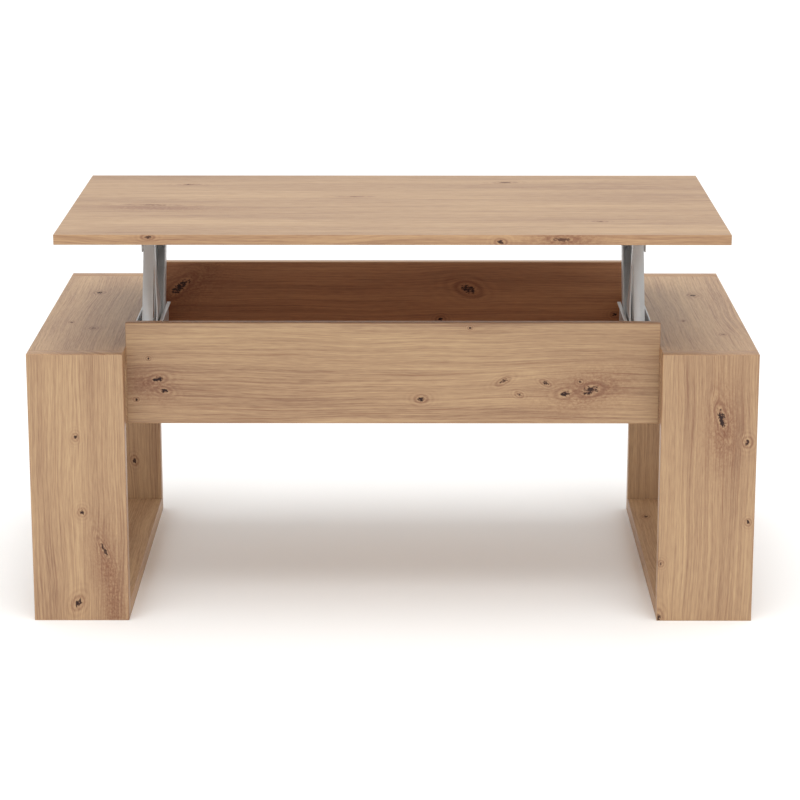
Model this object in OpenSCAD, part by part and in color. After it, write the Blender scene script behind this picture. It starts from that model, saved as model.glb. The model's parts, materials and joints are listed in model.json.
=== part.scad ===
// Lift top coffee table. Boards stand on two open loop legs, with a storage box between
// them. The top rides on two pairs of parallel arms, so it rises and comes forward level.
// Frame: +Z up, -Y is the front, +X is to the right of a person who faces the front.
// The origin is on the floor, under the middle of the whole table with its top raised.
// "d" is a distance behind the front of the legs, "u" one inwards from a leg's inner side.

/* [Legs] */
// Width of the table over both legs
table_w = 1100; // [1040:10:1200]
// Depth of the legs, front to back
leg_depth = 600; // [580:10:640]
// Height of the legs
leg_h = 420; // [410:5:440]
// Width of each leg
leg_w = 145; // [120:5:160]
// Thickness of the leg boards
leg_board = 25; // [22:1:30]

/* [Storage box] */
// Height of the box rim above the floor
rim_h = 457; // [450:1:470]
// Height of the front and back aprons
apron_h = 157; // [140:1:170]
// Thickness of the box boards
box_board = 16; // [15:1:18]
// How far the front apron is set back from the legs
front_recess = 50; // [45:1:60]
// How far the back apron is set in from the legs
back_recess = 70; // [55:1:75]

/* [Top] */
// Width of the top
top_w = 990; // [940:10:1040]
// Depth of the top
top_depth = 516; // [500:2:540]
// Thickness of the top
top_board = 15; // [15:1:18]
// Gap that the bumpers keep between the rim and the closed top
bumper_gap = 2; // [2:0.5:3]

/* [Lift mechanism] */
// Distance between the two pivots of an arm
arm_len = 175; // [170:1:177]
// Slope of the arms with the top raised, in degrees
arm_raised = 66.8; // [65:0.1:67.5]
// Turn of the arms from raised to closed, in degrees
arm_turn = 60; // [58:0.5:60]
// Distance of the front base pivot behind the legs' front
front_pivot_d = 222; // [218:1:224]
// Height of the front base pivot
front_pivot_z = 412; // [410:1:413]
// Width of an arm over its two sides
arm_w = 17; // [16:0.5:17]
// Thickness of the pressed steel
sheet = 2; // [2:0.1:2.2]
// Radius of the pivot rivets
rivet_r = 5; // [4.5:0.1:5]

/* [Hidden] */
$fn = 48;
fit = 0.05;          // radial clearance of a running or a driven fit
gap = 0.3;           // clearance between plates that slide past each other

// Places that follow from the sizes above
arm_closed = arm_raised - arm_turn;
travel = arm_len * (cos(arm_closed) - cos(arm_raised));
rise = arm_len * (sin(arm_raised) - sin(arm_closed));
top_front_d = (leg_depth - top_depth) / 2 - travel;
leg_front_y = -(leg_depth - top_front_d) / 2 - top_front_d;
inner_x = table_w / 2 - leg_w;
top_z = rim_h + bumper_gap + rise;
apron_z = rim_h - apron_h;
box_front_d = front_recess + box_board;
box_back_d = leg_depth - back_recess - box_board;
leg_top_z = leg_h - leg_board;
side_h = leg_top_z - apron_z;

// Board fittings
dowel_r = 4;
dowel_in_face = 12;
dowel_in_edge = 18;
bolt_r = 3;
bolt_in_face = 11;
cam_r = 7.5;
cam_back = 34;       // from the joint to the cam's centre
cam_deep_leg = 18;
cam_deep_box = 12;
joint_half = 50;     // from a leg joint's middle to each dowel

// Lift mechanism, across (u) and in side view (d, z)
rear_offset = [96, -40];   // from the front base pivot to the rear one
base_in_u = 37;            // outer face of the base's inner wall
lip_u = 42.5;
front_arm_u = 9.5;
rear_arm_u = 18;
cheek_u = 4;               // outer face of the top bracket's outer cheek
flange_u = 62;
arm_r = 11;
boss_r = 12;
bush_r = 8;
head_r = 8;
head_h = 2.5;
splay_u = 31.5;            // the front arm's inner side, near its base pivot
splay_t = [28, 130];       // along the arm, where that side slants
base_front_d = 83;
base_back_d = 353;
base_low_z = 340;
base_top_z = 424;
strut_r = 8;
strut_bore_r = 5.5;
rod_r = 3.5;
eye_r = 7.5;
eye_w = 8;
eye_u = 17;
pin_r = 4;
strut_drop = 46.6;         // from the front base pivot down to the strut's axis
strut_stroke = 52.36;
anchor_d = 95;
tube_d = [103, 183];
rod_len = 80;
piston_h = 8;
stop_r = 4;
stop_at = [25, 15.6];      // along the rear arm and in front of its middle line

// ---- Small helpers ----

// Moves to a distance behind the legs' front
module behind(d) { translate([0, leg_front_y + d, 0]) children(); }

// The frame in which x is u, measured inwards from the inner side of the leg on side s
module on_side(s) {
    if (s < 0)
        translate([-inner_x, leg_front_y, 0]) children();
    else
        mirror([1, 0, 0]) translate([-inner_x, leg_front_y, 0]) children();
}

// A board, from its low corner [x, d, z]
module board(low, size) { behind(0) translate(low) cube(size); }

// A plate across X, from an outline in side view
module plate(u, thick, outline) {
    translate([u, 0, 0]) rotate([90, 0, 90]) linear_extrude(thick) polygon(outline);
}

// A round bar along X between two values of u, at a side-view point
module bar(at, r, u0, u1) {
    translate([u0, at[0], at[1]]) rotate([0, 90, 0]) cylinder(r = r, h = u1 - u0);
}

// The frame of an arm: +Y runs along it from its base pivot, +Z is its front
module at_arm(pivot) { translate([0, pivot[0], pivot[1]]) rotate([arm_raised, 0, 0]) children(); }

// Turns +Z onto a direction along an axis
module aim(dir) {
    turn = dir[2] != 0 ? [dir[2] > 0 ? 0 : 180, 0, 0]
         : dir[0] != 0 ? [0, dir[0] * 90, 0]
         : [-dir[1] * 90, 0, 0];
    rotate(turn) children();
}

// ---- Fittings of the board joints ----
// A joint is [point on the joint, direction into the edge board, row direction,
//             dowel places along the row, cam places along the row, cam's open face, cam depth]

leg_mid = inner_x + leg_w / 2;

function leg_joints(s) = [
    for (end = [0, 1], z = [0, leg_top_z])
        [[s * leg_mid, end == 0 ? leg_board : leg_depth - leg_board, z + leg_board / 2],
         [0, 1 - 2 * end, 0], [1, 0, 0], [-joint_half, joint_half], [0],
         [0, 0, -1], leg_board / 2, cam_deep_leg]
];

// Sides under the leg tops, aprons against the sides, and the bottom on all four sides
function side_joints(s) = [
    [[s * (inner_x + box_board / 2), leg_depth / 2, leg_top_z], [0, 0, -1], [0, 1, 0],
     [-180, 0, 180], [-140, 140], [s, 0, 0], box_board / 2, cam_deep_box]
];
function apron_joints(s) = [
    for (d = [front_recess + box_board / 2, leg_depth - back_recess - box_board / 2])
        [[s * inner_x, d, apron_z + side_h / 2], [-s, 0, 0], [0, 0, 1], [-30, 25], [0],
         [0, d < leg_depth / 2 ? 1 : -1, 0], box_board / 2, cam_deep_box]
];
function bottom_end_joints(s) = [
    [[s * inner_x, leg_depth / 2, apron_z + box_board / 2], [-s, 0, 0], [0, 1, 0],
     [-180, 0, 180], [-120, 120], [0, 0, -1], box_board / 2, cam_deep_box]
];
bottom_long_joints = [
    for (end = [0, 1])
        [[0, end == 0 ? box_front_d : box_back_d, apron_z + box_board / 2], [0, 1 - 2 * end, 0],
         [1, 0, 0], [-330, 0, 330], [-220, 220], [0, 0, -1], box_board / 2, cam_deep_box]
];
function side_of_box(s) = concat(side_joints(s), apron_joints(s), bottom_end_joints(s));
box_joints = concat(side_of_box(-1), side_of_box(1), bottom_long_joints);

module joint_dowels(joints, extra = 0) {
    behind(0) for (j = joints, along = j[3])
        translate(j[0] + along * j[2]) aim(j[1]) translate([0, 0, -dowel_in_face - extra])
            cylinder(r = dowel_r + extra, h = dowel_in_face + dowel_in_edge + 2 * extra);
}

module joint_bolts(joints, extra = 0) {
    behind(0) for (j = joints, along = j[4])
        translate(j[0] + along * j[2]) aim(j[1]) translate([0, 0, -bolt_in_face - extra])
            cylinder(r = bolt_r + extra, h = bolt_in_face + cam_back - cam_r - 0.5 + 2 * extra);
}

module joint_cams(joints, extra = 0) {
    behind(0) for (j = joints, along = j[4])
        translate(j[0] + along * j[2] + cam_back * j[1] + (j[6] + extra) * j[5]) aim(-j[5])
            difference() {
                cylinder(r = cam_r + extra, h = j[7] + 2 * extra);
                if (extra == 0)
                    for (turn = [0, 90])
                        rotate([0, 0, turn]) translate([-4, -0.6, -1]) cube([8, 1.2, 2.5]);
            }
}

module joint_bores(joints) {
    joint_dowels(joints, fit);
    joint_bolts(joints, fit);
    joint_cams(joints, fit);
}

// ---- Legs ----

oak = "#c9a27c";
beech = "#d9b98c";
zinc = "#b8bcc0";
steel = "#c2c6ca";
nylon = "#22262a";

module leg_upright(s, back) {
    color(oak) difference() {
        board([s > 0 ? inner_x : -inner_x - leg_w, back ? leg_depth - leg_board : 0, 0],
              [leg_w, leg_board, leg_h]);
        joint_bores(leg_joints(s));
    }
}

module leg_level(s, z) {
    color(oak) difference() {
        board([s > 0 ? inner_x : -inner_x - leg_w, leg_board, z],
              [leg_w, leg_depth - 2 * leg_board, leg_board]);
        joint_bores(leg_joints(s));
        if (z > 0)
            joint_bores(side_joints(s));
    }
}

// ---- Storage box ----

module apron(d) {
    color(oak) difference() {
        board([-inner_x, d, apron_z], [2 * inner_x, box_board, apron_h]);
        joint_bores(concat(apron_joints(-1), apron_joints(1), bottom_long_joints));
    }
}

module box_side(s) {
    color(oak) difference() {
        board([s > 0 ? inner_x : -inner_x - box_board, front_recess, apron_z],
              [box_board, leg_depth - front_recess - back_recess, side_h]);
        joint_bores(side_of_box(s));
        on_side(s) base_screw_holes();
    }
}

module box_bottom() {
    color(oak) difference() {
        board([-inner_x, box_front_d, apron_z], [2 * inner_x, box_back_d - box_front_d, box_board]);
        joint_bores(concat(bottom_end_joints(-1), bottom_end_joints(1), bottom_long_joints));
    }
}

// ---- Top ----

module table_top() {
    color(oak) difference() {
        board([-top_w / 2, top_front_d, top_z], [top_w, top_depth, top_board]);
        for (s = [-1, 1])
            on_side(s) bracket_screw_holes();
    }
}

// Pads under the top that meet the aprons' rims when it is closed
bumper_r = 6;
bumper_x = 300;
module bumpers() {
    closed_rims = [front_recess, leg_depth - back_recess - box_board];
    color("#d8d4cc")
        for (x = [-bumper_x, bumper_x], d = closed_rims)
            behind(d + box_board / 2 - travel) translate([x, 0, top_z - bumper_gap + gap])
                cylinder(r = bumper_r, h = bumper_gap - gap);
}

// ---- Lift mechanism ----

front_base = [front_pivot_d, front_pivot_z];
rear_base = front_base + rear_offset;
reach = arm_len * [cos(arm_raised), sin(arm_raised)];
front_head = front_base + reach;
rear_head = rear_base + reach;
strut_z = front_pivot_z - strut_drop;
pin_d = front_pivot_d + strut_stroke / 2;

// Screws of the base, as [d, z], and of the top bracket, as [d, u]
base_screw_at = [[101, 382], [148, 349], [262, 353], [272, 386], [342, 356]];
bracket_screw_at = [[274, 51], [316, 51], [358, 51], [396, 51]];
screw_r = 2;
screw_head_r = 4;
screw_head_h = 1.6;
screw_in = 12;

module base_screw_holes() {
    for (at = base_screw_at)
        bar(at, screw_r + fit, -screw_in - gap, sheet + 1);
}

module bracket_screw_holes() {
    for (at = bracket_screw_at)
        translate([at[1], at[0], top_z - sheet - 1])
            cylinder(r = screw_r + fit, h = sheet + 1 + screw_in + gap);
}

// Trough screwed to the side of the box: two walls on a floor, with a lip on the inner wall
base_high_d = 174;                 // where the walls reach their full height
base_steps = [[130, 396], [base_front_d, 388]];
base_slot = [18, 40];              // across and along
base_slot_u = 10;
base_slot_d = [120, 205, 290];

module lift_base(s) {
    wall = concat([[base_front_d, base_low_z], [base_back_d, base_low_z],
                   [base_back_d, base_top_z], [base_high_d, base_top_z]], base_steps);
    color(zinc) on_side(s) difference() {
        union() {
            for (u = [0, base_in_u])
                plate(u, sheet, wall);
            translate([0, base_front_d, base_low_z])
                cube([base_in_u + sheet, base_back_d - base_front_d, sheet]);
            translate([base_in_u, base_high_d, base_top_z - sheet])
                cube([lip_u - base_in_u, base_back_d - base_high_d, sheet]);
        }
        for (at = [front_base, rear_base])
            bar(at, rivet_r + fit, -1, lip_u + 1);
        bar([anchor_d, strut_z], pin_r + fit, -1, lip_u);
        bar(stop_centre(), stop_r + fit, -1, lip_u);
        base_screw_holes();
        // Lightening slots in the floor
        for (d = base_slot_d)
            translate([base_slot_u, d, base_low_z - 1])
                cube([base_slot[0], base_slot[1], sheet + 2]);
    }
}

module base_screws(s) {
    color(steel) on_side(s) for (at = base_screw_at) {
        bar(at, screw_r, -screw_in, sheet);
        cross_head(at);
    }
}

// Low round head with a cross recess, on the base's outer plate
module cross_head(at) {
    difference() {
        translate([sheet, at[0], at[1]]) rotate([0, 90, 0])
            cylinder(r1 = screw_head_r, r2 = screw_head_r - 1, h = screw_head_h);
        translate([sheet + screw_head_h, at[0], at[1]]) {
            cube([1.6, 4, 0.8], center = true);
            cube([1.6, 0.8, 4], center = true);
        }
    }
}

// A rivet across u0 to u1, with its head on the inner end
module rivet(at, u0, u1) {
    bar(at, rivet_r, u0, u1);
    translate([u1, at[0], at[1]]) rotate([0, 90, 0])
        cylinder(r1 = head_r, r2 = head_r - 2, h = head_h);
}

module base_rivets(s) {
    color(steel) on_side(s) for (at = [front_base, rear_base])
        rivet(at, 0, base_in_u + sheet + fit);
}

module top_rivets(s) {
    color(steel) on_side(s) for (at = [front_head, rear_head])
        rivet(at, cheek_u, base_in_u + sheet + fit);
}

// A bush around a rivet, between two plates
module bush(at, u0, u1) {
    difference() {
        bar(at, bush_r, u0 + gap, u1 - gap);
        bar(at, rivet_r + fit, u0, u1);
    }
}

module base_bushes(s) {
    color(nylon) on_side(s) {
        bush(front_base, sheet, front_arm_u);
        bush(front_base, splay_u + sheet, base_in_u);
        bush(rear_base, sheet, rear_arm_u);
        bush(rear_base, rear_arm_u + arm_w, base_in_u);
    }
}

module top_bushes(s) {
    color(nylon) on_side(s) {
        bush(front_head, cheek_u + sheet, front_arm_u);
        bush(front_head, front_arm_u + arm_w, base_in_u);
        bush(rear_head, cheek_u + sheet, rear_arm_u);
        bush(rear_head, rear_arm_u + arm_w, base_in_u);
    }
}

function along_rear(t, z) = rear_base + t * [cos(arm_raised), sin(arm_raised)]
                          + z * [-sin(arm_raised), cos(arm_raised)];
function stop_centre() = along_rear(stop_at[0], stop_at[1]);

// The front edges of the rear arm meet this pin when the top is raised
module stop_pin(s) {
    color(steel) on_side(s) bar(stop_centre(), stop_r, 0, base_in_u + sheet);
}

// One side of the front arm, along the arm (t) and across it: broad at the base pivot,
// where the strut pulls on a slot, and slim towards the top pivot
web_foot = 12;
slot_angle = -60 - arm_raised;
slot_mid = 50;
slot_half = 3.4;
slot_r = pin_r + 0.9;
lug_r = 12.5;
lug_at = slot_mid * [cos(slot_angle), sin(slot_angle)];
front_arm_outline = [
    [-10, arm_r], [arm_len, arm_r], [arm_len, -arm_r], [128, -11], [108, -13], [90, -15.5],
    [80, -19], [73, -28], [60, -42], [47, -55], [38, -59.5], [24, -61], [0, -59], [-22, -51],
    [-41, -34], [-26, -12], [-14, 2]
];

module front_arm_side(thick) { plate(0, thick, front_arm_outline); }

// The inner side, seen from the front: close at the top, splayed inwards at the base pivot
module front_arm_inner_side() {
    in_u = front_arm_u + arm_w - sheet;
    path = [[in_u, arm_len], [in_u, splay_t[1]], [splay_u, splay_t[0]], [splay_u, -80]];
    strip = concat(path, [for (i = [3:-1:0]) path[i] + [sheet, 0]]);
    intersection() {
        translate([0, 0, -100]) linear_extrude(200) polygon(strip);
        translate([front_arm_u, 0, 0]) front_arm_side(splay_u);
    }
    bar([arm_len, 0], arm_r - 0.2, in_u, in_u + sheet);
    bar(lug_at, lug_r, splay_u, splay_u + sheet);
}

module front_arm_holes() {
    for (t = [0, arm_len])
        bar([t, 0], rivet_r + fit, -1, base_in_u);
    for (shift = [-slot_half, slot_half])
        bar(lug_at * (slot_mid + shift) / slot_mid, slot_r, -1, base_in_u);
    rotate([slot_angle, 0, 0]) translate([-1, slot_mid - slot_half, -slot_r])
        cube([base_in_u, 2 * slot_half, 2 * slot_r]);
}

module front_arm(s) {
    color(zinc) on_side(s) at_arm(front_base) difference() {
        union() {
            // The front web, with a wider foot below the base pivot
            translate([front_arm_u, -10, arm_r - sheet]) cube([arm_w, arm_len + 10, sheet]);
            translate([front_arm_u, -10, arm_r - sheet])
                cube([splay_u + sheet - front_arm_u, web_foot, sheet]);
            translate([front_arm_u, 0, 0]) front_arm_side(sheet);
            bar([arm_len, 0], arm_r - 0.2, front_arm_u, front_arm_u + sheet);
            bar(lug_at, lug_r, front_arm_u, front_arm_u + sheet);
            front_arm_inner_side();
        }
        front_arm_holes();
    }
}

// A channel with its web at the back, so its open side faces the front
module rear_arm(s) {
    side = [[0, arm_r], [arm_len, arm_r], [arm_len, -arm_r], [0, -boss_r]];
    color(zinc) on_side(s) at_arm(rear_base) difference() {
        union() {
            translate([rear_arm_u, 0, -arm_r]) cube([arm_w, arm_len, sheet]);
            for (u = [rear_arm_u, rear_arm_u + arm_w - sheet]) {
                plate(u, sheet, side);
                bar([0, 0], boss_r, u, u + sheet);
                bar([arm_len, 0], arm_r, u, u + sheet);
            }
        }
        for (t = [0, arm_len])
            bar([t, 0], rivet_r + fit, 0, base_in_u);
    }
}

// Pressed bracket under the top: a screwed flange with an outer and an inner cheek
flange_past = 12;                  // of the flange, past the front of the cheeks
below_head = 14;                   // of a cheek, under a top pivot
module top_bracket(s) {
    high = top_z - sheet;
    low = rear_head[1] - below_head;
    front = front_head[0] - 16;
    back = rear_head[0] + 13;
    outer = [[front, top_z], [front + 12, low], [back, low], [back, top_z]];
    inner = [[front, top_z], [front, front_head[1] - below_head],
             [front + 30, front_head[1] - below_head],
             [back - 28, low], [back, low], [back, top_z]];
    color(zinc) on_side(s) difference() {
        union() {
            plate(cheek_u, sheet, outer);
            plate(base_in_u, sheet, inner);
            translate([cheek_u, front - flange_past, high])
                cube([flange_u - cheek_u, back - front + 1.5 * flange_past, sheet]);
        }
        for (at = [front_head, rear_head])
            bar(at, rivet_r + fit, 0, flange_u);
        bracket_screw_holes();
    }
}

module bracket_screws(s) {
    color(steel) on_side(s) for (at = bracket_screw_at)
        translate([at[1], at[0], top_z - sheet]) {
            cylinder(r = screw_r, h = sheet + screw_in);
            mirror([0, 0, 1]) difference() {
                cylinder(r1 = screw_head_r, r2 = screw_head_r - 1, h = screw_head_h);
                translate([0, 0, screw_head_h]) {
                    cube([4, 0.8, 1.6], center = true);
                    cube([0.8, 4, 1.6], center = true);
                }
            }
        }
}

// ---- Gas strut that carries the weight of the top ----

// A round bar along the strut's axis, from d backwards
module along_d(d, r, length) {
    translate([eye_u + eye_w / 2, d, strut_z]) rotate([-90, 0, 0])
        cylinder(r = r, h = length);
}

module strut_tube(s) {
    color("#1d1f22") on_side(s) difference() {
        union() {
            along_d(tube_d[0], strut_r, tube_d[1] - tube_d[0]);
            bar([anchor_d, strut_z], eye_r, eye_u, eye_u + eye_w);
            translate([eye_u, anchor_d, strut_z - 4]) cube([eye_w, tube_d[0] - anchor_d + 2, 8]);
        }
        along_d(tube_d[0] + 4, strut_bore_r, tube_d[1] - tube_d[0] - 8);
        along_d(tube_d[1] - 5, rod_r + fit, 6);
        bar([anchor_d, strut_z], pin_r + fit, 0, base_in_u);
    }
}

module strut_rod(s) {
    color(steel) on_side(s) difference() {
        union() {
            along_d(pin_d - rod_len, rod_r, rod_len);
            along_d(pin_d - rod_len, strut_bore_r - 0.1, piston_h);
            bar([pin_d, strut_z], eye_r, eye_u, eye_u + eye_w);
        }
        bar([pin_d, strut_z], pin_r + fit, 0, base_in_u);
    }
}

module strut_anchor(s) {
    color(steel) on_side(s) bar([anchor_d, strut_z], pin_r, 0, base_in_u + sheet);
}

module strut_pin(s) {
    color(steel) on_side(s) {
        bar([pin_d, strut_z], pin_r, front_arm_u - 2.2, splay_u + sheet + 1.2);
        for (u = [front_arm_u - 1.8, splay_u + sheet + gap])
            bar([pin_d, strut_z], pin_r + 1.6, u, u + 0.8);
    }
}

// ---- Nodes ----

leg_upright(-1, false);  // left_leg_front
leg_upright(-1, true);  // left_leg_back
leg_level(-1, leg_top_z);  // left_leg_top
leg_level(-1, 0);  // left_leg_foot
color(beech) joint_dowels(leg_joints(-1));  // left_leg_dowels
color(zinc) joint_cams(leg_joints(-1));  // left_leg_cams
color(steel) joint_bolts(leg_joints(-1));  // left_leg_bolts
leg_upright(1, false);  // right_leg_front
leg_upright(1, true);  // right_leg_back
leg_level(1, leg_top_z);  // right_leg_top
leg_level(1, 0);  // right_leg_foot
color(beech) joint_dowels(leg_joints(1));  // right_leg_dowels
color(zinc) joint_cams(leg_joints(1));  // right_leg_cams
color(steel) joint_bolts(leg_joints(1));  // right_leg_bolts
apron(front_recess);  // front_apron
apron(box_back_d);  // back_apron
box_side(-1);  // left_box_side
box_side(1);  // right_box_side
box_bottom();
color(beech) joint_dowels(box_joints);  // box_dowels
color(zinc) joint_cams(box_joints);  // box_cams
color(steel) joint_bolts(box_joints);  // box_bolts
lift_base(-1);  // left_lift_base
base_screws(-1);  // left_base_screws
base_rivets(-1);  // left_base_rivets
base_bushes(-1);  // left_base_bushes
stop_pin(-1);  // left_stop_pin
front_arm(-1);  // left_front_arm
rear_arm(-1);  // left_rear_arm
top_bracket(-1);  // left_top_bracket
bracket_screws(-1);  // left_bracket_screws
top_rivets(-1);  // left_top_rivets
top_bushes(-1);  // left_top_bushes
strut_tube(-1);  // left_strut_tube
strut_rod(-1);  // left_strut_rod
strut_anchor(-1);  // left_strut_anchor
strut_pin(-1);  // left_strut_pin
lift_base(1);  // right_lift_base
base_screws(1);  // right_base_screws
base_rivets(1);  // right_base_rivets
base_bushes(1);  // right_base_bushes
stop_pin(1);  // right_stop_pin
front_arm(1);  // right_front_arm
rear_arm(1);  // right_rear_arm
top_bracket(1);  // right_top_bracket
bracket_screws(1);  // right_bracket_screws
top_rivets(1);  // right_top_rivets
top_bushes(1);  // right_top_bushes
strut_tube(1);  // right_strut_tube
strut_rod(1);  // right_strut_rod
strut_anchor(1);  // right_strut_anchor
strut_pin(1);  // right_strut_pin
table_top();
bumpers();
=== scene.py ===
# %% [markdown]
# # A lift top coffee table in knotty oak
# The table is flat boards, pressed steel arms and small fittings. The boards' sizes and the
# places of every pivot come from the loaded frame, so this file only makes looks: boards with
# edge banding, oak with knots, powder-coated arms, lights and a camera.

# %% Load the frame
import json
import math

import bpy
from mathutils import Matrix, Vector


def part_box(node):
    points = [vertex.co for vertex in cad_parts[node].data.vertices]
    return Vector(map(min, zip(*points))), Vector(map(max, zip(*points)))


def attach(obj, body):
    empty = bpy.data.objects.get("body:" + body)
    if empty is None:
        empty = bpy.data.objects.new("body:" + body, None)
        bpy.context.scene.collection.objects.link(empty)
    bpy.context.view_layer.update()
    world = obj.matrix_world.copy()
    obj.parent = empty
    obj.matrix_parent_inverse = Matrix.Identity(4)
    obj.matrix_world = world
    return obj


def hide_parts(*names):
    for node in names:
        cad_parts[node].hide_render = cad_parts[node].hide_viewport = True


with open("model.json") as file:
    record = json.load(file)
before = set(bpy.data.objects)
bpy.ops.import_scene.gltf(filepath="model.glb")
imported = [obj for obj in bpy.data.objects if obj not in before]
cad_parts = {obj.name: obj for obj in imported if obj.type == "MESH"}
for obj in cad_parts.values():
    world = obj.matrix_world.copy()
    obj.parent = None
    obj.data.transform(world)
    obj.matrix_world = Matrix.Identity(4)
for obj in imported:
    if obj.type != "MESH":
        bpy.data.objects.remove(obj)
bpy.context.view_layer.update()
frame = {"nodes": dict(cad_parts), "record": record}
MM = 0.001

# %% [markdown]
# A piece rides on the body that holds its CAD node, so the bodies are turned round once into a
# table from node to body. It saves naming a body for each of the fifty pieces.

# %% Which body holds which node
BODY_OF = {}
for body_name, body_nodes in frame["record"]["behaviour"]["bodies"].items():
    for node_name in body_nodes:
        BODY_OF[node_name] = body_name
SLOT_OF = {row["node"]: row["material_slot"] for row in frame["record"]["subparts"]}
print("nodes on the top:", sum(b == "top" for b in BODY_OF.values()))

# %% [markdown]
# Every material starts as an empty node tree. One small function adds a node with its settings
# and links, and another turns an sRGB hex colour, as a paint chart gives it, into linear light.

# %% Material helpers


def linear(hex_colour, dim=1.0):
    """An sRGB hex colour as linear RGBA, dimmed by a factor."""
    parts = [int(hex_colour[i : i + 2], 16) / 255 for i in (1, 3, 5)]
    bent = [c / 12.92 if c <= 0.04045 else ((c + 0.055) / 1.055) ** 2.4 for c in parts]
    return (*[c * dim for c in bent], 1.0)


def add(tree, kind, inputs=(), **settings):
    """A new node: values, sockets or nodes go into its sockets, in order or by name."""
    made = tree.nodes.new("ShaderNode" + kind)
    for field, value in settings.items():
        setattr(made, field, value)
    pairs = inputs.items() if isinstance(inputs, dict) else enumerate(inputs)
    for key, value in pairs:
        if isinstance(value, bpy.types.Node):
            value = value.outputs[0]
        if isinstance(value, bpy.types.NodeSocket):
            tree.links.new(value, made.inputs[key])
        else:
            made.inputs[key].default_value = value
    return made


def new_material(name):
    """An empty material with its shader and output, as (material, tree, shader)."""
    material = bpy.data.materials.new(name)
    material.use_nodes = True
    tree = material.node_tree
    tree.nodes.clear()
    shader = add(tree, "BsdfPrincipled")
    add(tree, "OutputMaterial", {"Surface": shader})
    return material, tree, shader


def feed(tree, shader, **sources):
    """Links nodes or sockets to the shader's sockets; an underscore stands for a space."""
    for key, source in sources.items():
        if isinstance(source, bpy.types.Node):
            source = source.outputs[0]
        tree.links.new(source, shader.inputs[key.replace("_", " ")])


def two_tone(tree, source, low, high, dark, light):
    """A ramp between two linear colours."""
    ramp = add(tree, "ValToRGB", (source,))
    stops = ramp.color_ramp.elements
    stops[0].position, stops[1].position = low, high
    stops[0].color, stops[1].color = dark, light
    return ramp


# %% [markdown]
# ## The oak
# The boards are chipboard with an oak melamine face: a print of rustic oak under a resin film
# that is embossed along the grain. A print keeps the grain's real sizes: pores about 0.3 mm
# wide and 8 mm long, growth lines 4 to 9 mm apart, broad light and dark bands, and knots of
# 8 to 30 mm with a dark core and a brown halo that the lines flow around.
#
# An image would give this, but noise does it at any size and needs no file. The lines are
# bands across the board, and each knot pushes that coordinate flat near its middle, which
# bends the lines around it as water bends around a stone. Noise rises and falls over two of
# its cells, so lines of 2.6 mm cells lie 5 mm apart. Real pores are too fine to show on a
# whole table, so they are drawn with 1.1 mm cells, as coarse as they need to be.

# %% Oak colours
OAK_LIGHT = "#c2a17a"
OAK_MID = "#ad8b69"
OAK_DEEP = "#8e6b50"
KNOT_HALO = "#7a4a30"
KNOT_CORE = "#2a120a"
PLAIN_WASH = "#ffffff"
STRIP_WASH = "#faf3ed"
# The inner colour darkens and reddens the print: painted shade and warm bounce light inside the
# box
INNER_PAINTED_SHADE = "#ffe2d4"
DEEP_STOP, MID_STOP, LIGHT_STOP = 0.14, 0.5, 0.86

# %% [markdown]
# Each layer of the print has the size of its cells across and along the grain, and how
# strongly it shows.

# %% Oak scales
BAND_WIDE = 45 * MM
BAND_LONG = 700 * MM
LINE_WIDE = 2.6 * MM
LINE_LONG = 230 * MM
STREAK_WIDE = 3.0 * MM
STREAK_LONG = 160 * MM
PORE_WIDE = 1.1 * MM
PORE_LONG = 22 * MM
WANDER_WIDE = 170 * MM
WANDER_LONG = 430 * MM
CRACK_WIDE = 3 * MM
CRACK_LONG = 4.5 * MM
BAND_SHOWS, LINE_SHOWS, PORE_SHOWS = 0.85, 0.95, 0.75
WANDER_BY = 34 * MM
NOISE_ROUGH = 0.55
# A brown streak starts where its noise passes the first number
STREAK_FROM, STREAK_GAIN = 0.62, 3.0
HALO_SHOWS = 0.9
# The film's roughness, and how much a pore and a knot's core change it
FILM_ROUGH, PORE_DULLS, CORE_DULLS = 0.52, -0.16, 0.35
EMBOSS_STRENGTH, EMBOSS_DEEP = 0.2, 0.3 * MM


# %% [markdown]
# A knot is its place along and across the board from the board's middle in millimetres, its
# radius, how dark its core is, how much longer than wide it is, and how far it leans.

# %% One knot in the grain
SWERVE_FADE = 0.06


def knot_fields(tree, along, across, knot):
    """How far one knot is from each point, in its own radii squared, and how it bends lines."""
    at_along, at_across, radius, _, stretch, lean = knot
    run = add(tree, "Math", (along, at_along * MM), operation="SUBTRACT")
    side = add(tree, "Math", (across, at_across * MM), operation="SUBTRACT")
    side = add(tree, "Math", (run, lean, side), operation="MULTIPLY_ADD")
    long = add(tree, "Math", (run, 1 / (stretch * radius * MM)), operation="MULTIPLY")
    wide = add(tree, "Math", (side, 1 / (radius * MM)), operation="MULTIPLY")
    square = add(tree, "Math", (long, long), operation="MULTIPLY")
    reach = add(tree, "Math", (wide, wide, square), operation="MULTIPLY_ADD")
    # A line that meets the knot swerves, and one three radii away runs straight
    steep = add(tree, "Math", (reach, reach), operation="MULTIPLY")
    steep = add(tree, "Math", (steep, SWERVE_FADE, 1.0), operation="MULTIPLY_ADD")
    bend = add(tree, "Math", (side, steep), operation="DIVIDE")
    return reach, bend


# %% [markdown]
# Wood changes slowly along the grain and quickly across it, so the noise is stretched: its
# cells are long one way and narrow the other. Layers of it add up around a middle grey.

# %% The layers of the grain


def grain_noise(tree, along, across, depth, long, wide, detail):
    """Noise stretched along the grain: its features are about long by wide, in metres."""
    long_way = add(tree, "Math", (along, 1 / long), operation="MULTIPLY")
    wide_way = add(tree, "Math", (across, 1 / wide), operation="MULTIPLY")
    at = add(tree, "CombineXYZ", (long_way, wide_way, depth))
    settings = {"Vector": at, "Scale": 1.0, "Detail": detail, "Roughness": NOISE_ROUGH}
    return add(tree, "TexNoise", settings)


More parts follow.
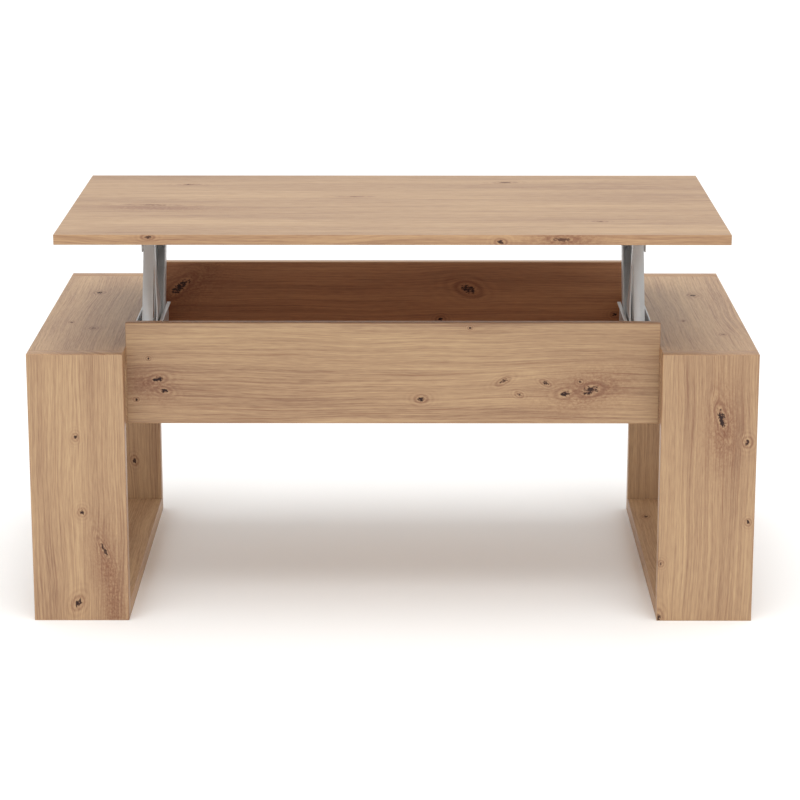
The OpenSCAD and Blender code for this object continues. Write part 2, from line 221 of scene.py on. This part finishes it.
def layer(tree, noise, strength, under):
    """A layer of noise over the layers under it, both centred on their middle grey."""
    centred = add(tree, "Math", (noise, 0.5), operation="SUBTRACT")
    return add(tree, "Math", (centred, strength, under), operation="MULTIPLY_ADD")


# %% [markdown]
# A knot shows in three ways. Its core is cracked and nearly black, with flecks of wood between
# the cracks. Fine rings lie round it, and a soft brown halo of about twice its radius fades into
# the board. A row with no darkness is only a halo: the brown mark that a buried knot leaves.

# %% The knots of one board
HALO_FADE = 0.16
HALO_PATCHY, HALO_MIDDLE = 2.4, 0.68
RING_RATE, RING_SHOWS = 4.2, -0.5
CORE_RAGGED, CORE_REACH, CORE_EDGE = 6.5, 0.9, 1.6


def knot_layers(tree, along, across, lines, rough, knots):
    """The bent lines, and the rings, halo and core of all the knots of a board."""
    rings, halo, core = 0.5, 0.0, 0.0
    for knot in knots:
        dark = knot[3]
        reach, bend = knot_fields(tree, along, across, knot)
        far = add(tree, "Math", (reach, HALO_FADE, 1.0), operation="MULTIPLY_ADD")
        far = add(tree, "Math", (far, far), operation="MULTIPLY")
        cloud = add(tree, "Math", (1.0, far), operation="DIVIDE")
        if dark:
            lines = add(tree, "Math", (lines, bend), operation="SUBTRACT")
            radii = add(tree, "Math", (reach, 0.5), operation="POWER")
            radii = add(tree, "Math", (radii, RING_RATE), operation="MULTIPLY")
            wave = add(tree, "Math", (radii,), operation="SINE")
            wave = add(tree, "Math", (wave, cloud), operation="MULTIPLY")
            rings = add(tree, "Math", (wave, RING_SHOWS, rings), operation="MULTIPLY_ADD")
            ragged = (rough, CORE_RAGGED, CORE_REACH)
            edge = add(tree, "Math", ragged, operation="MULTIPLY_ADD")
            edge = add(tree, "Math", (edge, reach), operation="SUBTRACT")
            inside = add(tree, "Math", (edge, CORE_EDGE), operation="MULTIPLY", use_clamp=True)
            inside = add(tree, "Math", (inside, dark), operation="MULTIPLY")
            core = add(tree, "Math", (core, inside), operation="MAXIMUM")
        patches = (rough, HALO_PATCHY, HALO_MIDDLE)
        patchy = add(tree, "Math", patches, operation="MULTIPLY_ADD")
        cloud = add(tree, "Math", (cloud, patchy), operation="MULTIPLY")
        halo = add(tree, "Math", (halo, cloud), operation="MAXIMUM")
    return lines, rings, halo, core


# %% [markdown]
# The print is put together in order: a coordinate that wanders, the knots that bend it, three
# layers of noise that give the tone, a ramp of three browns, a thin colour over it that paints
# shade on the box's inner faces, and the brown stains.

# %% The oak material


def oak(name, along_axis, across_axis, middle, knots, shift, wash_and_painted_shade):
    """Oak melamine whose grain runs along one axis; knots are in mm from the middle, and the
    last argument is a colour multiplied over the whole print, on inner faces a painted shade."""
    material, tree, shader = new_material(name)
    place = add(tree, "TexCoord").outputs["Object"]
    centred = add(tree, "Mapping", {"Vector": place, "Location": -middle})
    axes = add(tree, "SeparateXYZ", (centred,)).outputs
    along, across = axes[along_axis], axes[across_axis]
    third = axes[3 - along_axis - across_axis]
    depth = add(tree, "Math", (third, shift), operation="ADD")

    # The whole figure wanders a little across the board, and it runs on through the thickness
    wander = grain_noise(tree, along, across, depth, WANDER_LONG, WANDER_WIDE, 2.0)
    lines = add(tree, "Math", (across, depth), operation="ADD")
    lines = layer(tree, wander, WANDER_BY, lines)
    ragged = grain_noise(tree, along, across, depth, CRACK_LONG, CRACK_WIDE, 4.0)
    rough = add(tree, "Math", (ragged, 0.5), operation="SUBTRACT")
    lines, rings, halo, core = knot_layers(tree, along, across, lines, rough, knots)

    band = grain_noise(tree, along, lines, depth, BAND_LONG, BAND_WIDE, 3.0)
    growth = grain_noise(tree, along, lines, depth, LINE_LONG, LINE_WIDE, 2.0)
    fine = add(tree, "Math", (depth, 1 / PORE_WIDE), operation="MULTIPLY")
    pore = grain_noise(tree, along, lines, fine, PORE_LONG, PORE_WIDE, 2.0)
    tone = layer(tree, band, BAND_SHOWS, rings)
    tone = layer(tree, growth, LINE_SHOWS, tone)
    tone = layer(tree, pore, PORE_SHOWS, tone)
    ends = linear(OAK_DEEP), linear(OAK_LIGHT)
    ramp = two_tone(tree, tone, DEEP_STOP, LIGHT_STOP, *ends)
    ramp.color_ramp.elements.new(MID_STOP).color = linear(OAK_MID)

    # A thin colour over the print, painted shade on the box's inner faces, then the brown stains
    # on the wood's own colour: streaks, halos and cores
    streak = grain_noise(tree, along, lines, depth, STREAK_LONG, STREAK_WIDE, 1.0)
    streak = add(tree, "Math", (streak, STREAK_FROM), operation="SUBTRACT")
    streak = add(tree, "Math", (streak, STREAK_GAIN), operation="MULTIPLY", use_clamp=True)
    halo = add(tree, "Math", (halo, HALO_SHOWS), operation="MULTIPLY", use_clamp=True)
    # On the box's inner faces this multiply is painted shade
    wash_and_shade_inputs = {0: 1.0, 6: ramp.outputs[0], 7: linear(wash_and_painted_shade)}
    colour = add(tree, "Mix", wash_and_shade_inputs, data_type="RGBA", blend_type="MULTIPLY").outputs[2]
    for amount, tint in ((streak, KNOT_HALO), (halo, KNOT_HALO), (core, KNOT_CORE)):
        stain = add(tree, "Mix", {0: amount, 6: colour, 7: linear(tint)}, data_type="RGBA")
        colour = stain.outputs[2]

    # The resin film is satin, duller in the embossed pores and on the cracked knots
    satin = add(tree, "Math", (pore, PORE_DULLS, FILM_ROUGH), operation="MULTIPLY_ADD")
    satin = add(tree, "Math", (core, CORE_DULLS, satin), operation="MULTIPLY_ADD")
    bumps = {"Height": pore, "Strength": EMBOSS_STRENGTH, "Distance": EMBOSS_DEEP}
    emboss = add(tree, "Bump", bumps)
    feed(tree, shader, Base_Color=colour, Roughness=satin, Normal=emboss)
    return material


# %% [markdown]
# ## The boards
# A board is cut square and its edges are banded with a 1 mm plastic strip in the same print.
# Two things show that on a real one: the strip's fine line just inside each edge, and the edge
# itself, rounded to about half a millimetre by a scraper, which catches the light.
#
# A cube is the board. Its broad faces are inset by the strip's thickness, the narrow ring and
# the sides take the banding material, and a Bevel modifier rounds the edges. The broad face
# that looks towards the middle of the box can take its own material; on the box boards that is
# the print darkened and reddened, painted shade for the inside of the box.

# %% Where the box is
X, Y, Z = 0, 1, 2
bottom_low, bottom_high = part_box("box_bottom")
rim_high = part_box("front_apron")[1][Z]
box_middle = (bottom_low + bottom_high) / 2
box_middle[Z] = (bottom_low[Z] + rim_high) / 2
print("middle of the box:", [round(v, 3) for v in box_middle])

# %% Pick faces, round edges and settle a piece
SHARP_EDGE = math.radians(40)
SMOOTH_TURN = math.radians(35)


def pick_faces(piece, test):
    """Selects only the faces that pass a test, and ends in edit mode."""
    bpy.ops.object.mode_set(mode="OBJECT")
    for edge in piece.data.edges:
        edge.select = False
    for vertex in piece.data.vertices:
        vertex.select = False
    for face in piece.data.polygons:
        face.select = test(face)
    bpy.ops.object.mode_set(mode="EDIT")


def round_edges(piece, width, segments):
    """Rounds the sharp edges of the active piece and shades it smooth over them."""
    rounding = piece.modifiers.new("edges", "BEVEL")
    rounding.width = width
    rounding.segments = segments
    rounding.angle_limit = SHARP_EDGE
    bpy.ops.object.modifier_apply(modifier=rounding.name)
    bpy.ops.object.shade_smooth_by_angle(angle=SMOOTH_TURN)


def finish_piece(piece, name, body, nodes):
    """Settles a piece: its place in its mesh, its body and the nodes it stands for."""
    bpy.ops.object.transform_apply(location=True, rotation=True, scale=True)
    piece.name = name
    piece.data.name = name
    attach(piece, body)
    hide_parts(*nodes)


# %% Make one board
BAND_THICK = 1.0 * MM
EDGE_ROUND = 0.55 * MM
EDGE_STEPS = 3
BROAD_NORMAL = 0.9
OUTER, BANDED, INNER = 0, 1, 2


def make_board(node, thin, face_material, band_material, inner_material):
    """A banded board in the place of its CAD node; thin is the axis across its thickness."""
    low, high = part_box(node)
    bpy.ops.object.select_all(action="DESELECT")
    bpy.ops.mesh.primitive_cube_add(size=1, location=(low + high) / 2)
    board = bpy.context.active_object
    board.scale = high - low
    bpy.ops.object.transform_apply(location=False, rotation=False, scale=True)
    for material in (face_material, band_material, inner_material):
        board.data.materials.append(material)

    def is_broad(face):
        return abs(face.normal[thin]) > BROAD_NORMAL

    inwards = box_middle[thin] - (low + high)[thin] / 2
    for face in board.data.polygons:
        side = INNER if face.normal[thin] * inwards > 0 else OUTER
        face.material_index = side if is_broad(face) else BANDED
    bpy.ops.object.mode_set(mode="EDIT")
    bpy.ops.mesh.select_mode(type="FACE")
    pick_faces(board, is_broad)
    bpy.ops.mesh.inset(thickness=BAND_THICK, use_individual=True)
    bpy.ops.object.mode_set(mode="OBJECT")
    half = (high - low) / 2
    flat_axes = [axis for axis in (X, Y, Z) if axis != thin]
    for face in board.data.polygons:
        gaps = [half[axis] - abs(face.center[axis]) for axis in flat_axes]
        if is_broad(face) and min(gaps) < BAND_THICK:
            face.material_index = BANDED
    round_edges(board, EDGE_ROUND, EDGE_STEPS)
    finish_piece(board, node + "_board", BODY_OF[node], [node])


# %% [markdown]
# Each board has its own knots, because a print of rustic oak repeats only every few metres. A
# table of boards gives the axis of the grain, the axis across it, the thin axis and the knots.
# A knot's row is (along, across, radius, darkness, length, lean).

# %% The boards and their knots
BOARDS = {
    "left_leg_front": (Z, X, Y, [
        (81, -2, 2.8, 1.0, 1.2, 0.0), (-37, 5, 3.4, 1.0, 1.1, 0.0),
        (-98, 38, 2.6, 0.9, 4.2, 0.45), (-182, -5, 5.0, 1.0, 1.3, -0.25),
        (-128, 42, 10, 0, 3.0, 0.1), (-178, 50, 9, 0, 5.0, 0.0)]),
    "right_leg_front": (Z, X, Y, [
        (112, 18, 5.0, 1.0, 2.9, 0.25), (74, 58, 4.2, 0.9, 1.1, 0.0),
        (-118, -68, 2.4, 0.8, 1.2, 0.0), (-52, 63, 2.6, 1.0, 1.2, 0.0),
        (-204, -72, 5.0, 0.9, 1.4, 0.0), (96, 22, 12, 0, 2.6, 0.0)]),
    "left_leg_back": (Z, X, Y, [
        (60, 55, 3, 0.9, 1.3, 0.0), (-116, 27, 3.5, 0.9, 1.4, 0.1)]),
    "right_leg_back": (Z, X, Y, [(55, -45, 3.5, 0.8, 1.4, 0.0), (-60, 20, 5, 0.9, 1.5, 0.0)]),
    "left_leg_top": (Y, X, Z, [
        (-82, -30, 2.6, 0.7, 1.3, 0.0), (-124, 10, 4, 0.5, 1.4, 0.0),
        (140, -10, 5, 0.9, 1.5, 0.0)]),
    "right_leg_top": (Y, X, Z, [
        (-165, 32, 3.2, 0.8, 1.4, 0.0), (-70, -20, 2.6, 0.5, 1.3, 0.0),
        (120, 15, 5, 0.9, 1.4, 0.1)]),
    "left_leg_foot": (Y, X, Z, [(-150, 20, 4, 0.8, 1.4, 0.0)]),
    "right_leg_foot": (Y, X, Z, [(170, -50, 4, 0.9, 1.4, 0.0)]),
    "front_apron": (X, Z, Y, [
        (-371, 23, 1.8, 1.0, 1.2, 0.0), (-357, -9, 4.2, 1.0, 1.8, -0.1),
        (-349, -27, 3.6, 1.0, 1.8, 0.2), (-391, -41, 2.0, 1.0, 1.3, 0.0),
        (-372, -18, 12, 0, 1.6, 0.2), (43, -40, 3.6, 1.0, 1.5, 0.0),
        (168, -12, 3.0, 0.9, 2.0, -0.4), (192, -33, 2.4, 1.0, 1.5, 0.2),
        (232, -15, 2.6, 0.9, 1.8, 0.4), (262, -31, 4.6, 1.0, 1.8, -0.1),
        (285, -13, 2.2, 0.9, 1.2, 0.0), (301, -26, 6.0, 0.95, 1.9, -0.2),
        (298, -26, 16, 0, 2.0, -0.2), (117, 71, 1.8, 0.9, 1.2, 0.0)]),
    "back_apron": (X, Z, Y, [
        (250, 20, 6.0, 1.0, 1.8, 0.2), (-95, -38, 4, 0.9, 1.6, 0.0),
        (-310, 30, 3, 0.9, 1.4, 0.0)]),
    "left_box_side": (Y, Z, X, [(60, 12, 4, 0.9, 1.6, 0.0)]),
    "right_box_side": (Y, Z, X, [(-90, -8, 4, 0.9, 1.6, 0.0)]),
    "box_bottom": (X, Y, Z, [(-250, 90, 5, 0.9, 1.8, 0.1), (140, -120, 4, 0.9, 1.6, 0.0)]),
    "table_top": (X, Y, Z, [
        (-371, -14, 5, 0.25, 4.5, 0.1), (-360, -40, 12, 0, 4.0, 0.1),
        (-60, 60, 3, 0.2, 5.0, 0.0), (-330, 170, 4, 0.5, 2.4, 0.0),
        (310, -150, 3, 0.5, 2.0, 0.1), (180, 190, 5, 0.7, 2.0, -0.1)]),
}

# The inner faces of the box take the print darkened and reddened: painted shade for the raised
# top's shadow and the warm light bounced inside the box. The aprons' inner faces have their own
# knots
BOX_BOARDS = ("back_apron", "front_apron", "left_box_side", "right_box_side", "box_bottom")
INNER_KNOTS = {
    "back_apron": [
        (-360, 36, 8.0, 1.0, 1.8, -0.7), (-352, 34, 22, 0, 1.8, -0.5),
        (125, 32, 7.0, 1.0, 1.7, 0.2), (78, -20, 3, 1.0, 1.5, 0.0),
        (372, -12, 3, 1.0, 1.4, 0.0), (-120, -45, 4, 0.9, 1.8, 0.0)],
    "front_apron": [(-150, 30, 5, 1.0, 1.6, 0.1), (220, -20, 4, 0.9, 1.5, 0.0)],
}

# The front edge of the top shows knots of its own, cut through in the print of the strip
TOP_EDGE_KNOTS = [(-357, 4, 2.4, 0.8, 2.2, 0.0), (158, -3, 3.0, 0.9, 1.6, 0.0),
                  (247, 1, 3.0, 0.6, 4.0, 0.0), (250, 0, 9, 0, 3.0, 0.0)]

# %% Lay the print on the boards
# Each board takes its print from another depth of the noise, so that no two are alike
PRINT_STEP, INNER_STEP, STRIP_STEP = 1.7, 0.9, 0.6
STRIP_KNOTS = 4

for number, (node, (grain, cross, thin, knots)) in enumerate(BOARDS.items()):
    low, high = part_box(node)
    middle = (low + high) / 2
    shift = number * PRINT_STEP
    face = oak(f"oak_melamine_{node}", grain, cross, middle, knots, shift, PLAIN_WASH)
    inner = face
    # Painted shade: the inner faces of the box boards take a darker, redder print
    if node in BOX_BOARDS:
        inner = oak(f"oak_melamine_inner_painted_shade_{node}", grain, cross, middle,
                    INNER_KNOTS.get(node, knots), shift + INNER_STEP, INNER_PAINTED_SHADE)
    if node == "table_top":
        cross, knots = thin, TOP_EDGE_KNOTS
    band = oak(f"oak_edge_band_{node}", grain, cross, middle, knots[:STRIP_KNOTS],
               shift + STRIP_STEP, STRIP_WASH)
    make_board(node, thin, face, band, inner)
print("boards:", len(BOARDS))

# %% [markdown]
# ## The steel of the lift mechanism
# The arms, the troughs and the brackets are 2 mm sheet steel, pressed and powder coated silver
# grey. Powder melts into a satin skin with a faint orange peel of about 1 mm, which breaks up
# the highlight. Silver powder holds aluminium flakes, so the paint is a quarter metallic.

# %% Powder-coated steel
PEEL_SIZE = 1.2 * MM
PEEL_DEEP = 0.2 * MM
CLOUD_SIZE = 40 * MM
FLAKE_SHARE = 0.25
PEEL_SHARE, CLOUD_SHARE = 0.35, 0.65
CLOUD_DULLS = 0.14
COAT_DARKEST = 0.86


def powder_coat(name, hex_colour, roughness, peel):
    """Satin paint with a faint orange peel."""
    material, tree, shader = new_material(name)
    place = add(tree, "TexCoord").outputs["Object"]
    grain = add(tree, "TexNoise", {"Vector": place, "Scale": 1 / PEEL_SIZE, "Detail": 2.0})
    cloud = add(tree, "TexNoise", {"Vector": place, "Scale": 1 / CLOUD_SIZE, "Detail": 3.0})
    mixed = layer(tree, cloud, CLOUD_SHARE, layer(tree, grain, PEEL_SHARE, 0.5))
    shades = linear(hex_colour, COAT_DARKEST), linear(hex_colour)
    colour = two_tone(tree, mixed, 0.3, 0.7, *shades)
    shader.inputs["Metallic"].default_value = FLAKE_SHARE
    satin = layer(tree, cloud, CLOUD_DULLS, roughness)
    bump = add(tree, "Bump", {"Height": grain, "Strength": peel, "Distance": PEEL_DEEP})
    feed(tree, shader, Base_Color=colour, Roughness=satin, Normal=bump)
    return material


# %% [markdown]
# Rivets, screws and cams are zinc plated: a thin bright metal skin, clouded by the bath, with
# fine scratches from the tumbler. The strut's rod is ground and hard chromed, so it is the one
# mirror-like piece. The bushes are moulded nylon, which is dull with a fine spark texture.

# %% Plated metal and moulded plastic
BATH_CLOUD = 6 * MM
SCRATCH_LONG = 3.3 * MM
SCRATCH_WIDE = 0.4 * MM
SPARK_SIZE = 0.8 * MM
FINE_DEEP = 0.1 * MM
SCRATCH_STRENGTH, SPARK_STRENGTH = 0.08, 0.15
SPARK_DARKEST, SPARK_DULLS = 0.8, 0.1


def plated(name, hex_colour, roughness, cloudy=0.12):
    """Zinc or chrome plate over steel, clouded and finely scratched."""
    material, tree, shader = new_material(name)
    place = add(tree, "TexCoord").outputs["Object"]
    cloud = add(tree, "TexNoise", {"Vector": place, "Scale": 1 / BATH_CLOUD, "Detail": 4.0})
    stretch = (1 / SCRATCH_LONG, 1 / SCRATCH_WIDE, 1 / SCRATCH_WIDE)
    stretched = add(tree, "Mapping", {"Vector": place, "Scale": stretch})
    scratch = add(tree, "TexNoise", {"Vector": stretched, "Scale": 1.0, "Detail": 2.0})
    dull = linear(hex_colour, 1 - 2 * cloudy)
    colour = two_tone(tree, cloud, 0.35, 0.65, dull, linear(hex_colour))
    shader.inputs["Metallic"].default_value = 1.0
    skin = add(tree, "Math", (cloud, cloudy, roughness), operation="MULTIPLY_ADD")
    bumps = {"Height": scratch, "Strength": SCRATCH_STRENGTH, "Distance": FINE_DEEP}
    bump = add(tree, "Bump", bumps)
    feed(tree, shader, Base_Color=colour, Roughness=skin, Normal=bump)
    return material


def moulded(name, hex_colour, roughness, milky=0.0):
    """Moulded plastic with a fine spark texture; a milky one lets some light through."""
    material, tree, shader = new_material(name)
    place = add(tree, "TexCoord").outputs["Object"]
    spark = add(tree, "TexNoise", {"Vector": place, "Scale": 1 / SPARK_SIZE, "Detail": 3.0})
    shades = linear(hex_colour, SPARK_DARKEST), linear(hex_colour)
    colour = two_tone(tree, spark, 0.0, 1.0, *shades)
    shader.inputs["Subsurface Weight"].default_value = milky
    skin = add(tree, "Math", (spark, SPARK_DULLS, roughness), operation="MULTIPLY_ADD")
    bump = add(tree, "Bump", {"Height": spark, "Strength": SPARK_STRENGTH, "Distance": FINE_DEEP})
    feed(tree, shader, Base_Color=colour, Roughness=skin, Normal=bump)
    return material


# %% [markdown]
# Beech dowels are turned and fluted rods of pale pinkish wood with short flecks. They are inside
# the joints, so they show only when the boards come apart, and a plain fleck is enough.

# %% Beech
FLECK_LONG = 3.0 * MM
FLECK_WIDE = 0.6 * MM
BEECH_DARK, BEECH_LIGHT = "#b98f66", "#dcbb93"
BEECH_ROUGH, FLECK_DULLS = 0.55, 0.15


def beech(name):
    """Pale turned beech with short flecks."""
    material, tree, shader = new_material(name)
    place = add(tree, "TexCoord").outputs["Object"]
    axes = add(tree, "SeparateXYZ", (place,)).outputs
    flecks = grain_noise(tree, axes[X], axes[Y], axes[Z], FLECK_LONG, FLECK_WIDE, 2.0)
    colour = two_tone(tree, flecks, 0.3, 0.7, linear(BEECH_DARK), linear(BEECH_LIGHT))
    skin = add(tree, "Math", (flecks, FLECK_DULLS, BEECH_ROUGH), operation="MULTIPLY_ADD")
    feed(tree, shader, Base_Color=colour, Roughness=skin)
    return material


# %% [markdown]
# The frame gives every node a material slot, and each slot has one finish.

# %% The finish of each slot
FINISHES = {
    "lift_steel": powder_coat("powder_coated_steel", "#dcdfe0", 0.36, 0.12),
    "strut_black": powder_coat("black_enamel", "#1d1f22", 0.30, 0.05),
    "zinc_fitting": plated("zinc_plate", "#b9bcbe", 0.32),
    "rivet_steel": plated("bright_zinc", "#c6c9cb", 0.24),
    "rod_chrome": plated("hard_chrome", "#d4d7da", 0.07, cloudy=0.03),
    "nylon": moulded("black_nylon", "#24272a", 0.55),
    "bumper_clear": moulded("milky_bumper", "#d8d4cc", 0.45, milky=0.25),
    "beech": beech("turned_beech"),
}
print("finishes:", sorted(FINISHES))

# %% [markdown]
# ## Softened steel
# The pressed parts have the right outline in the frame, but their edges are razor sharp. On a
# real pressing the shears leave a rounded edge on one side, about 0.3 mm across, and it draws
# a bright line in the light. Each piece is copied, its loose triangles are merged and cleaned
# into flat faces, and a Bevel modifier rounds the edges that are sharper than 40 degrees.

# %% Copy a CAD piece and round its edges
PRESS_ROUND = 0.3 * MM
PRESS_STEPS = 2
SAME_POINT = 0.002 * MM
FLAT_TURN = math.radians(1)
PRESSED = [
    f"{side}_{part}"
    for side in ("left", "right")
    for part in ("lift_base", "front_arm", "rear_arm", "top_bracket")
]


def soften(node):
    """A copy of a CAD node with rounded edges, in the node's place."""
    source = frame["nodes"][node]
    piece = source.copy()
    piece.data = source.data.copy()
    piece.parent = None
    bpy.context.collection.objects.link(piece)
    bpy.ops.object.select_all(action="DESELECT")
    piece.select_set(True)
    bpy.context.view_layer.objects.active = piece
    piece.data.materials.clear()
    piece.data.materials.append(FINISHES[SLOT_OF[node]])
    bpy.ops.object.mode_set(mode="EDIT")
    bpy.ops.mesh.select_all(action="SELECT")
    bpy.ops.mesh.remove_doubles(threshold=SAME_POINT)
    bpy.ops.mesh.dissolve_limited(angle_limit=FLAT_TURN)
    bpy.ops.object.mode_set(mode="OBJECT")
    round_edges(piece, PRESS_ROUND, PRESS_STEPS)
    finish_piece(piece, node + "_pressed", BODY_OF[node], [node])


for node in PRESSED:
    soften(node)
print("pressed pieces:", len(PRESSED))

# %% [markdown]
# ## The fittings
# Screws, rivets, pins, cams and the strut keep their CAD shape. They are small or hidden, and
# they only need their finish.

# %% Finish the fittings
fittings = [node for node in frame["nodes"] if node not in BOARDS and node not in PRESSED]
for node in fittings:
    skins = frame["nodes"][node].data.materials
    skins.clear()
    skins.append(FINISHES[SLOT_OF[node]])
print("fittings with their CAD shape:", len(fittings))

# %% [markdown]
# ## Floor, light and camera
# A white paper sweep: a pale floor that runs far back, so that it ends in the same white as the
# room. A white world gives the fill, and a broad ceiling of light, as wide as a bank of strip
# lamps, gives the floor its white. A soft key from the front lays the raised top's shadow on the
# legs behind it.

# %% Floor
FLOOR_SIZE = 60.0
PAPER_WHITE = "#fafaf9"
PAPER_ROUGH = 0.9
bpy.ops.object.select_all(action="DESELECT")
bpy.ops.mesh.primitive_plane_add(size=FLOOR_SIZE, location=(0, 0, 0))
floor = bpy.context.active_object
floor.name = "floor"
paper, _, paper_shader = new_material("white_paper")
paper_shader.inputs["Base Color"].default_value = linear(PAPER_WHITE)
paper_shader.inputs["Roughness"].default_value = PAPER_ROUGH
floor.data.materials.append(paper)

# %% World and lights
WORLD_LIGHT = 0.82
KEY_PLACE = Vector((0.0, -4.6, 2.6))
KEY_AIM = Vector((0.0, 0.0, 0.4))
KEY_SIZE = 1.8
KEY_WATTS = 20
CEILING_LIGHT = 1.45
CEILING_SPREAD = math.radians(45)
CEILING_TILT = (math.radians(16), 0.0, math.radians(4))

world = bpy.data.worlds.new("studio")
bpy.context.scene.world = world
world.use_nodes = True
world.node_tree.nodes["Background"].inputs["Color"].default_value = (1.0, 1.0, 1.0, 1.0)
world.node_tree.nodes["Background"].inputs["Strength"].default_value = WORLD_LIGHT


def hang_lamp(name, kind, energy):
    """A new lamp in the scene."""
    data = bpy.data.lights.new(name, kind)
    data.energy = energy
    lamp = bpy.data.objects.new(name, data)
    bpy.context.collection.objects.link(lamp)
    return lamp


key = hang_lamp("front_key", "AREA", KEY_WATTS)
key.data.shape = "SQUARE"
key.data.size = KEY_SIZE
key.location = KEY_PLACE
key.rotation_euler = (KEY_AIM - KEY_PLACE).to_track_quat("-Z", "Y").to_euler()

ceiling = hang_lamp("ceiling", "SUN", CEILING_LIGHT)
ceiling.data.angle = CEILING_SPREAD
ceiling.rotation_euler = CEILING_TILT

# %% [markdown]
# The camera stands 3.96 m before the legs with its eye 1.37 m up, a little right of the middle,
# and looks down at the table. A long lens from that far keeps the lines calm.

# %% Camera
EYE_HEIGHT = 1.365
EYE_BEFORE_LEGS = 3.960
EYE_SIDE = 0.022
LOOK_DOWN = math.radians(14.38)
LENS = 122.3
SENSOR = 36.0
SIDEWAYS = math.radians(0.16)
leg_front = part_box("left_leg_front")[0][Y]
camera_data = bpy.data.cameras.new("camera")
camera_data.lens = LENS
camera_data.sensor_width = SENSOR
camera = bpy.data.objects.new("camera", camera_data)
bpy.context.collection.objects.link(camera)
camera.location = (EYE_SIDE, leg_front - EYE_BEFORE_LEGS, EYE_HEIGHT)
camera.rotation_euler = (math.pi / 2 - LOOK_DOWN, 0.0, SIDEWAYS)
bpy.context.scene.camera = camera
bpy.context.scene.view_settings.view_transform = "Standard"
